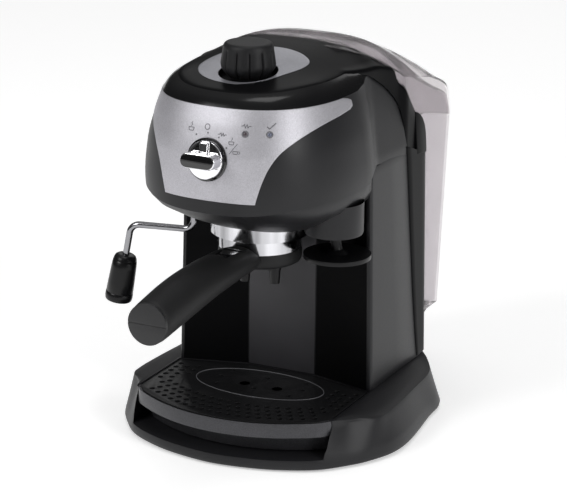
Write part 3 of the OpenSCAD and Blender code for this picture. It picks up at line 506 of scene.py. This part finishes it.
def cover_rows():
    """Rows of the roof cover from its middle line out to its edge, each from rear left round to rear right.
    At the front the edge turns down a little. Behind, it becomes the dark band down to the crease."""
    stations = [-10 + 12 * i / 4 for i in range(1, 4)] + [2 + 60 * i / 20 for i in range(21)] + \
        [62 + 24 * i / 8 for i in range(1, 9)]
    arcs = [90 * i / 36 for i in range(37)]
    shares = [0.0, 0.12, 0.24, 0.36, 0.48, 0.6, 0.7, 0.8, 0.88, 0.94]
    rows = []
    for k in range(len(shares) + 7):
        row = []
        turn = max(0, k - len(shares) + 1)
        for q in arcs:
            x, y = arc(ROOF_A + 0.4, ROOF_B + 0.4, q)
            share = shares[k] if not turn else 0.94 + 0.06 * math.sin(math.radians(min(turn, 3) * 30))
            x, y = x * share, HEAD_Y + (y - HEAD_Y) * share
            fall = 1.3 * (1 - math.cos(math.radians(min(turn, 3) * 30))) + 0.3 * max(0, turn - 3)
            drop = fall if turn else 0
            row.append((x, y, roof_z(x, y) + 0.25 - drop))
        for y in stations:
            edge_x = ROOF_A + (y + 10) * 0.27 if y < 0 else crease_x(y) + 0.5
            edge_z = roof_z(edge_x, y) - 1.6 if y < 0 else crease_z(y) - 0.6
            if y > 62:
                edge_x, edge_z = 72.9, seam_z(y)
            inner = edge_x - 3.5
            top = cover_z(inner, y) + 0.25
            if y < 4:
                edge_z = max(edge_z, top - 4.0 - (y + 10) * 0.2)
            if not turn:
                x = inner * shares[k] / 0.94
                row.append((x, y, cover_z(x, y) + 0.25))
            else:
                tall = min(3.5, 0.8 * (top - edge_z))
                lean = math.radians(min(turn, 3) * 30)
                z = top - tall * (1 - math.cos(lean))
                z += (edge_z - (top - tall)) * max(0, turn - 3) / 4
                row.append((inner + 3.5 * math.sin(lean), y, z))
        rows.append(row)
    return both_sides(rows)


def lower_body():
    # Column: sides, angled alcove walls and flat middle panel, rounded where they meet
    rows = []
    for k in range(29):
        z = 35 + 165 * k / 28
        x = column_x(z)
        cheek = 90 - 27 * (k / 28) ** 0.9
        half = [(0, 12.3), (13, 12.3), (25.4, 12.3), (27.4, 12.1), (52, 5.4), (x - 3, -0.9), (x - 1.0, -0.6),
                (x - 0.1, 0.8), (x, 3), (x, cheek * 0.5), (x, cheek - 1), (x - 0.5, cheek), (x - 1.3, 97),
                (x - 2.4, 98), (72.4, 86.2), (0, 86)]
        top = {13: 191.5, 12: 191.5, 14: 192, 15: 192}
        rows.append([(p[0], p[1], z if k < 28 else top.get(i, 197 if i > 9 else 201))
                     for i, p in enumerate(half)])
    rings = [mirrored(row) for row in rows]
    piece("column", loft(rings), "root", "satin_black", ("lower_housing",), bevel=0.4, angle=40)

    # Skins on the alcove's middle panel and on its angled walls: painted light on the middle panel, a lighter
    # grey sheet, and painted shade on the angled walls, near-black sheets
    front = [(p.x, p.y) for p in spline([(26.2, 12.0), (25.6, 11.7), (13, 11.6), (0, 11.6)], 4)]
    outline = [(26.2, 12.25)] + front + [(-x, y) for x, y in front[-2::-1]] + [(-26.2, 12.25)]
    piece("alcove_lit_panel", prism(outline, 35.5, 160), "root", "alcove_painted_light", bevel=0.2)
    for sign, label in ((1, "right"), (-1, "left")):
        rows = [[(sign * (27.6 + (column_x(z) - 31.2) * t), 11.85 - 12.8 * t, z)
                 for t in (0, 0.25, 0.5, 0.75, 1)]
                for z in [35.6 + 154.4 * k / 28 for k in range(29)]]
        piece("alcove_shade_sheet_" + label, grid(rows), "root", "alcove_painted_shade", thick=0.15)

    # Dark bands down both rear corners, carrying on from the roof cover
    crease = spline([(73, 61, 202.6), (74.2, 63.5, 182.7), (75.5, 67, 149.8), (76.6, 71, 113),
                     (77.2, 73.5, 91), (77.6, 77.5, 62), (78.0, 82, 36)], 6)
    for sign, label in ((1, "right"), (-1, "left")):
        rows = []
        for p in crease:
            z, x = p.z, column_x(p.z)
            low = min(z, seam_z(98))
            rows.append([(sign * (x + 0.15), p.y, z), (sign * (x + 0.5), p.y + 0.6, z)]
                        + [(sign * (x + 0.5 - 0.5 * t), p.y + 0.6 + (97.2 - p.y - 0.6) * t, z + (low - z) * t)
                           for t in (0.25, 0.5, 0.75, 0.9)] + [(sign * (x - 0.6), 98.2, low)])
        piece("column_band_" + label, grid(rows), "root", "black_cover", thick=0.8, bevel=0.2, angle=50)

    # Bowl under the head, and the pod over the tamper
    rows = []
    levels = [(40, 44, 160.6), (45, 47.5, 161.4), (48, 51, 162.6), (59.5, 66, 169), (72.5, 85, 179),
              (76.6, 93, 186), (77.8, 96.2, "lip"), (77.6, 96.0, "inside")]
    for a, b, z in levels:
        row = []
        for i in range(37):
            x, y = arc(a, b, 90 * i / 36)
            height = {"lip": lip_z(y) - 0.3, "inside": lip_z(y) + 2}.get(z, z)
            row.append((x, y, height))
        for x in (min(a, 75), min(a, 50), min(a, 26.4), 0):
            y = min(12.3, 12.3 - (x - 26.4) * 13.8 / 51.6) - 0.3
            row.append((x, y, 193 if z in ("lip", "inside") else z))
        rows.append(row)
    ring_cut = cutter(placed(spin([(0, 0), (36.4, 0), (36.4, 60), (0, 60)], 72), (0, GROUP_Y, 140)))
    bowl = loft([mirrored(row) for row in rows], caps=(True, False))
    piece("bowl", bowl, "root", "satin_black", ("lower_shroud",), cutters=(ring_cut,), bevel=0.3)
    bpy.data.objects.remove(ring_cut)
    pod = spin([(0, 158), (18.5, 158), (20.4, 158.6), (21, 160.2), (21, 182)], 64)
    piece("tamper_pod", placed(pod, (57, -24, 0)), "root", "satin_black")


BASE_FOOT = [(0, -102), (30, -98), (52, -91), (74, -79), (90, -61), (99, -47), (108, -24), (109, 4),
             (103, 51), (100, 78), (86, 100), (0, 103)]
BASE_RIDGE = [(0, -100), (29, -96), (50.8, -89), (72, -75), (84, -52), (98, -35), (100.5, -20), (100, 1.4),
              (98, 31), (94, 70), (80, 98), (0, 101)]
BASE_DECK = [(0, -99), (28, -95), (50, -88), (70, -74), (78, -66), (79, -52), (79, -35), (79, -2),
             (79, 20), (79, 50), (76, 98), (0, 100)]


def smooth_half(points, z):
    """Spline through a half outline, keeping its rear corner."""
    front = spline([(-points[1][0], points[1][1])] + points[:-1], 6)
    start = min(range(len(front)), key=lambda i: abs(front[i].x) + (0 if i < 12 else 99))
    return [(max(0.0, p.x), p.y, z) for p in front[start:]] + [(points[-1][0], points[-1][1], z)]


def base():
    levels = [(BASE_FOOT, 0.985, 1.5), (BASE_FOOT, 0.995, 2.4), (BASE_FOOT, 1.0, 5.0), (None, 0.30, 12.5),
              (None, 0.62, 20.5), (None, 0.88, 27.2), (BASE_RIDGE, 1.0, 30.2), (None, -0.35, 32.0),
              (None, -0.8, 34.0), (BASE_DECK, 1.0, 35.0)]
    rings = []
    for outline, share, z in levels:
        if outline is None:
            if share > 0:
                first, second, t = BASE_FOOT, BASE_RIDGE, share
            else:
                first, second, t = BASE_RIDGE, BASE_DECK, -share
            points = [(a[0] + (b[0] - a[0]) * t, a[1] + (b[1] - a[1]) * t) for a, b in zip(first, second)]
        else:
            points = [(p[0] * share, p[1] * share) for p in outline]
        rings.append(mirrored(smooth_half(points, z)))
    cut = cutter(prism(tray_outline(0.0, -8), 9.0, 40.0))
    piece("base", loft(rings), "root", "satin_black", ("base_shell",), cutters=(cut,), bevel=0.5,
          segments=3, angle=38)
    bpy.data.objects.remove(cut)


def tray_outline(play, front=0.0):
    half = [(68 * i / 16, -99 + front + play + 22.5 * (i / 16) ** 2.1) for i in range(17)]
    half += [(72.5 - play, -73.0 + front), (75.6 - play, -69.0 + front), (77.0 - play, -64.5 + front),
             (77.5 - play, -60 + front), (77.5 - play, -1.5 - play), (26.4, 12.3 - play), (0, 12.3 - play)]
    return [p[:2] for p in mirrored(half)]


# ---- Controls -----------------------------------------------------------------------------------

def on_panel(x, z, out=0.5):
    a, b = head_a(z) + out, head_b(z) + out
    return x, HEAD_Y - b * (1 - (abs(x) / a) ** POWER) ** (1 / POWER), z


def stroke(prints, points, radius=0.28, closed=False):
    """A printed line of an icon: a thin tube lying on the panel."""
    route = []
    for (x0, z0), (x1, z1) in zip(points, points[1:] + (points[:1] if closed else [])):
        route += [on_panel(x0 + (x1 - x0) * k / 3, z0 + (z1 - z0) * k / 3, 0.3) for k in range(3)]
    last = points[0] if closed else points[-1]
    route.append(on_panel(last[0], last[1], 0.3))
    prints.append(tube(route, radius, 8))


def ring_points(x, z, r, start=0, end=360, n=20):
    return [(x + r * math.cos(math.radians(start + (end - start) * k / n)),
             z + r * math.sin(math.radians(start + (end - start) * k / n))) for k in range(n + 1)]


def icons():
    prints = []

    def zigzag(x, z, s=1.0):
        stroke(prints, [(x - 3.6 * s, z), (x - 2.2 * s, z), (x - 1.5 * s, z + 1.3 * s),
                        (x - 0.6 * s, z - 1.3 * s), (x + 0.3 * s, z + 1.3 * s), (x + 1.2 * s, z - 1.3 * s),
                        (x + 1.9 * s, z), (x + 3.4 * s, z)])

    def cup(x, z, s=1.0):
        stroke(prints, [(x - 2.4 * s, z + 1.2 * s), (x - 1.8 * s, z - 1.1 * s), (x + 1.8 * s, z - 1.1 * s),
                        (x + 2.4 * s, z + 1.2 * s)], closed=True)

    def dot(x, z, r=0.35):
        stroke(prints, ring_points(x, z, r, n=8), 0.3)

    for angle, radius in ((-30, 17.2), (0, 17.0), (30, 17.2), (60, 17.4)):
        dot(-1.4 + radius * math.sin(math.radians(angle)), 224.6 + radius * math.cos(math.radians(angle)))
    cup(-14.6, 242.6, 0.9)
    stroke(prints, [(-15.2, 244.4), (-14.0, 245.4), (-15.0, 246.4), (-14.2, 247.4)], 0.26)
    stroke(prints, ring_points(-2.4, 245.4, 1.8), 0.28)
    zigzag(9.6, 241.6, 0.9)
    cup(16.6, 236.6, 0.8)
    stroke(prints, [(16.2, 238.3), (17.1, 239.3), (16.4, 240.4)], 0.24)
    stroke(prints, [(16.2, 229.6), (21.0, 236.6)], 0.24)
    cup(20.2, 230.6, 0.75)
    stroke(prints, ring_points(22.5, 230.8, 0.8, -100, 100, 10), 0.22)
    zigzag(25, 248.2, 0.95)
    stroke(prints, [(37.8, 248.2), (39.4, 246.6), (42.4, 250.2)], 0.36)
    piece("panel_icons", joined(*prints), "root", "print_grey")


def controls():
    icons()
    toward = Matrix.Rotation(math.radians(90), 4, "X")
    gap = spin([(13.3, -1.0), (13.3, 1.0), (14.2, 1.3), (14.9, 0.9), (15.1, -1.0)], 96)
    lean = Matrix.Rotation(math.radians(-8), 4, "X")
    piece("dial_gap", placed(gap, (0, -106.9, DIAL_Z), lean @ toward), "root", "gloss_black")
    refined("selector_dial", "dial", "chrome", bevel=0.8, segments=4)
    refined("dial_inset", "dial", "gloss_black", bevel=0.3)

    rims = []
    for k, x in enumerate((25, 40)):
        place = Vector(on_panel(x, LAMP_Z, 0))
        across = Vector(on_panel(x + 1, LAMP_Z, 0)) - Vector(on_panel(x - 1, LAMP_Z, 0))
        rise = Vector(on_panel(x, LAMP_Z + 1, 0)) - Vector(on_panel(x, LAMP_Z - 1, 0))
        square = across.cross(rise).to_track_quat("Z", "Y").to_matrix().to_4x4()
        dome = spin([(0, 1.0), (0.8, 0.9), (1.4, 0.6), (1.7, 0.2), (1.75, -4)], 32)
        piece("lens_%d" % (k + 1), placed(dome, place, square), "root", ("lens", "lens_blue")[k],
              ("indicator_lenses",) if k == 0 else ())
        rims.append(placed(spin([(1.8, -1), (1.8, 0.5), (1.95, 0.75), (2.2, 0.7), (2.4, 0.4), (2.4, -1)], 32),
                           place, square))
    piece("lens_rims", joined(*rims), "root", "print_grey")

    profile = [(0, 268.7), (12.4, 268.7), (13.4, 269.1), (16.4, 272.1), (18.7, 275.6), (19.2, 277.6),
               (19.15, 279.4), (18.6, 283), (18.0, 287), (17.7, 289.2), (17.3, 291.0), (16.7, 292.2),
               (15.8, 292.9), (14.6, 293.25), (12, 293.35), (6, 293.4), (0, 293.4)]
    rows = []
    sides = 240
    for point in spline([(r, 0, z) for r, z in profile], 4):
        r, z = point.x, point.z
        row = []
        fade = max(0.0, min(1.0, (289.4 - z) / 2.2)) * max(0.0, min(1.0, (z - 269.0) / 2.0))
        for k in range(sides):
            q = 360 * k / sides
            d = abs((q + 15) % 30 - 15)
            groove = 1.25 * math.exp(-(d / 1.9) ** 2) + 0.175 * math.cos(math.radians(d * 12))
            radius = max(0.0, r - groove * fade) if r > 11 else max(r, 0.0)
            row.append((radius * math.cos(math.radians(q)), KNOB_Y + radius * math.sin(math.radians(q)), z))
        rows.append(row)
    piece("knob", grid(rows, closed=True), "knob", "knob_black", ("steam_knob",), angle=50)


# ---- Brewing group ------------------------------------------------------------------------------

def group():
    # The locking ring and the filter holder carry chrome_ring's painted reflection streaks
    refined("locking_ring", "root", "chrome_ring", bevel=0.9, segments=4)
    refined("filter_holder", "portafilter", "chrome_ring", bevel=0.6, segments=3)
    cup = spin([(4.1, 131.2), (24, 131.0), (27.2, 131.2), (29.0, 132.2), (29.9, 134.2), (30.0, 137),
                (30.0, 141.0), (29.7, 141.8), (29.0, 142.0), (4.1, 142.0), (4.1, 131.2)], 96)
    piece("cup_sleeve", placed(cup, (0, GROUP_Y, 0)), "portafilter", "handle_black", ("holder_cup",),
          angle=50)
    refined("spouts", "portafilter", "soft_gloss", bevel=0.7, segments=3)
    refined("filter_basket", "portafilter", "steel", bevel=0.15)

    line = [(-52, 138.5, 13.8, 6.6), (-57, 139.2, 14.6, 9.4), (-66, 139.8, 15.2, 10.8),
            (-80, 140.4, 15.6, 11.6), (-105, 140.2, 16, 13), (-130, 139, 16, 14.4),
            (-155, 136.6, 15.8, 15.2), (-176, 133.8, 15.2, 15.1), (-186, 132.4, 14.9, 14.9),
            (-188.4, 132.1, 14.5, 14.5), (-189.0, 132.0, 13.9, 13.9)]
    ys = [s[0] for s in line]
    parts = [table([(-y, s[k]) for y, s in zip(ys, line)]) for k in (1, 2, 3)]
    rings = []
    for k in range(61):
        t = 52 + (189 - 52) * k / 60
        if k == 60:
            t = 189
        z, w, h = (f(t) for f in parts)
        rings.append([(w * math.cos(2 * math.pi * i / 56), -t, z + h * math.sin(2 * math.pi * i / 56))
                      for i in range(56)])
    cuts = [cutter(placed(spin([(0, 0), (30.05, 0), (30.05, 60), (0, 60)], 96), (0, GROUP_Y, 115))),
            cutter(prism([(-7.4, -93), (7.4, -93), (7.4, -59), (-7.4, -59)], 143.5, 170))]
    piece("grip", loft(rings), "portafilter", "handle_black", ("holder_handle",), cutters=cuts, bevel=0.5,
          segments=3, angle=45)
    for cut in cuts:
        bpy.data.objects.remove(cut)
    refined("handle_cap", "portafilter", "black_plastic", bevel=0.8, segments=3)
    refined("basket_lever", "lever", "gloss_black", bevel=0.8, segments=3)

    refined("tamper", "root", "soft_gloss", bevel=0.7, segments=3)

    heading, rise, tilt = (math.radians(v) for v in (192.7, 0.5, 10))
    low, bend_r, run, reach, sleeve = 140.4, 8.0, 33.0, 50.0, 17.0
    start = (bend_r * (1 + math.sin(rise)) + run * math.cos(rise),
             low + bend_r * (1 - math.cos(rise)) + run * math.sin(rise))
    centre = (start[0] + bend_r * math.sin(rise), start[1] - bend_r * math.cos(rise))
    end = (centre[0] + bend_r * math.cos(tilt), centre[1] + bend_r * math.sin(tilt))
    flat_route = [(0, 198), (0, 180), (0, 165), (0, low + bend_r)]
    for k in range(1, 13):
        q = (math.pi / 2 + rise) * k / 12
        flat_route.append((bend_r - bend_r * math.cos(q), low + bend_r - bend_r * math.sin(q)))
    flat_route += [(flat_route[-1][0] + (start[0] - flat_route[-1][0]) * k / 4,
                    flat_route[-1][1] + (start[1] - flat_route[-1][1]) * k / 4) for k in range(1, 4)]
    for k in range(13):
        q = math.pi / 2 + rise - (math.pi / 2 + rise - tilt) * k / 12
        flat_route.append((centre[0] + bend_r * math.cos(q), centre[1] + bend_r * math.sin(q)))
    down = (math.sin(tilt), -math.cos(tilt))
    flat_route += [(end[0] + down[0] * s, end[1] + down[1] * s) for s in (10, 25, reach)]

    def at_wand(r, z):
        return -60 + r * math.cos(heading), -12 + r * math.sin(heading), z
    piece("wand_tube", tube([at_wand(*p) for p in flat_route], 2.5, 24), "wand", "wand_chrome",
          ("steam_wand",), angle=60)
    turn = Matrix.Rotation(heading, 4, "Z") @ Matrix.Rotation(math.pi - tilt, 4, "Y")
    cover = [(2.55, 0.0), (5.4, 0.0), (6.3, 0.3), (7.6, 1.2), (8.3, 2.6), (8.6, 3.6), (8.15, 4.1),
             (8.9, 5.0), (9.3, 10), (9.8, 22), (10.0, 29.2), (9.7, 29.6), (10.15, 30.2), (10.2, 33),
             (9.9, 35.2), (9.3, 36.0), (4.0, 36.0), (4.0, 35.0), (2.55, 35.0), (2.55, 0.0)]
    shape = spin([(r, z + sleeve) for r, z in cover], 72)
    piece("frother", placed(shape, at_wand(*end), turn), "frother", "soft_gloss", ("frother_sleeve",),
          angle=45)


# ---- Tray and tank ------------------------------------------------------------------------------

def tray():
    refined("cup_grille", "grille", "grille_black", bevel=0.45, segments=3, angle=28)
    # Raised line round the two cup dents
    turns = [math.radians(5 * k) for k in range(73)]
    oval = [(50 * math.cos(q), -24 + 26 * math.sin(q), DECK_Z) for q in turns]
    piece("grille_oval", tube(oval, 0.3, 8), "grille", "print_grey")
    outer, inner = tray_outline(0.5), tray_outline(2.05)
    # Up the outside of the lip, across its top and down inside to the grille's seat
    lip = [(outer, 24.0), (outer, 34.6), (inner, 34.6), (inner, 32.7)]
    rings = [[(p[0], p[1], z) for p in outline] for outline, z in lip]
    piece("tray_lip", loft(rings, caps=(False, False)), "tray", "tray_grey", bevel=0.35, segments=3,
          thick=0.4)
    refined("drip_tray", "tray", "tray_grey", bevel=0.3)


def tank():
    refined("water_tank", "tank", "smoke_clear", bevel=0.8, segments=3)

    def low(y):
        """Height of the lid's rim, on the cover's slope and then on the tank."""
        return slope_z(y) + 1.3 if y < 88 else 219.2 - 12.6 * max(0.0, y - 98) / 52

    rows = []
    for k in range(-1, 50):
        s = max(-1.0, min(1.0, -1 + 2 * k / 48))
        x = 71.6 * math.copysign(abs(s) ** 0.8, s)
        y0 = lid_front(abs(x))
        row = [(x, y0, low(y0))]
        for j in range(37):
            y = y0 + (149.8 - y0) * j / 36
            top = max(roof_z(x, y) + 0.1 + lid_rise(y), low(y) + min(1.0, j / 3) * 1.2)
            row.append((x, y, low(y) if k in (-1, 49) else top))
        rows.append(row + [(x, 149.8, low(149.8))])
    piece("lid_shell", grid(rows), "lid", "smoke_lid", thick=2.0, bevel=0.6, segments=3, angle=40)


# ---- Stage --------------------------------------------------------------------------------------

def stage():
    mesh = bpy.data.meshes.new("floor")
    size = 12.0
    corners = [(-size, -size, 0), (size, -size, 0), (size, size, 0), (-size, size, 0)]
    mesh.from_pydata(corners, [], [(0, 1, 2, 3)])
    floor = bpy.data.objects.new("floor", mesh)
    bpy.context.collection.objects.link(floor)
    mesh.materials.append(surface("floor_white", (0.9, 0.9, 0.9), 0.9, vary=0.005, Specular_IOR_Level=0.1,
                                  Emission_Color=(1, 1, 1, 1), Emission_Strength=0.42))

    world = bpy.data.worlds.new("studio")
    bpy.context.scene.world = world
    bpy.context.scene.view_settings.view_transform = "Standard"
    world.use_nodes = True
    nodes, links = world.node_tree.nodes, world.node_tree.links
    coords = nodes.new("ShaderNodeTexCoord")
    split = nodes.new("ShaderNodeSeparateXYZ")
    ramp = nodes.new("ShaderNodeValToRGB")
    links.new(coords.outputs["Generated"], split.inputs["Vector"])
    links.new(split.outputs["Z"], ramp.inputs["Fac"])
    links.new(ramp.outputs["Color"], nodes["Background"].inputs["Color"])
    stops = [(0.0, 0.10), (0.12, 0.06), (0.35, 0.12), (0.75, 0.35), (1.0, 0.8)]
    while len(ramp.color_ramp.elements) < len(stops):
        ramp.color_ramp.elements.new(0.5)
    for element, (place, grey) in zip(ramp.color_ramp.elements, stops):
        element.position = place
        element.color = (grey, grey, grey, 1)
    nodes["Background"].inputs["Strength"].default_value = 0.75

    lamps = [("key", (-1.1, -1.9, 1.7), (1.0, 1.0), 27), ("fill", (2.2, -0.7, 1.1), (0.7, 1.5), 24),
             ("top", (0.0, 0.1, 2.3), (0.9, 0.9), 8), ("back", (-0.6, 2.2, 1.3), (1.6, 0.8), 4)]
    for name, place, size, power in lamps:
        light = bpy.data.lights.new(name, "AREA")
        light.shape = "RECTANGLE"
        light.size, light.size_y = size
        light.energy = power
        lamp = bpy.data.objects.new(name, light)
        bpy.context.collection.objects.link(lamp)
        lamp.location = place
        lamp.rotation_euler = (Vector((0, 0, 0.15)) - Vector(place)).to_track_quat("-Z", "Y").to_euler()


def camera():
    azimuth, elevation, roll = math.radians(26.0), math.radians(16.9), math.radians(0.605)
    back = Vector((math.sin(azimuth) * math.cos(elevation), -math.cos(azimuth) * math.cos(elevation),
                   math.sin(elevation)))
    data = bpy.data.cameras.new("camera")
    data.lens, data.sensor_width = 158.7, 36
    data.shift_x, data.shift_y = 0.0135, -0.048
    data.clip_end = 60
    cam = bpy.data.objects.new("camera", data)
    bpy.context.collection.objects.link(cam)
    cam.location = Vector((0, 0, 0.15)) + back * 1.8
    cam.rotation_mode = "QUATERNION"
    cam.rotation_quaternion = (-back).to_track_quat("-Z", "Y") @ Matrix.Rotation(roll, 3, "Z").to_quaternion()
    bpy.context.scene.camera = cam


head()
lower_body()
base()
controls()
group()
tray()
tank()
stage()
camera()
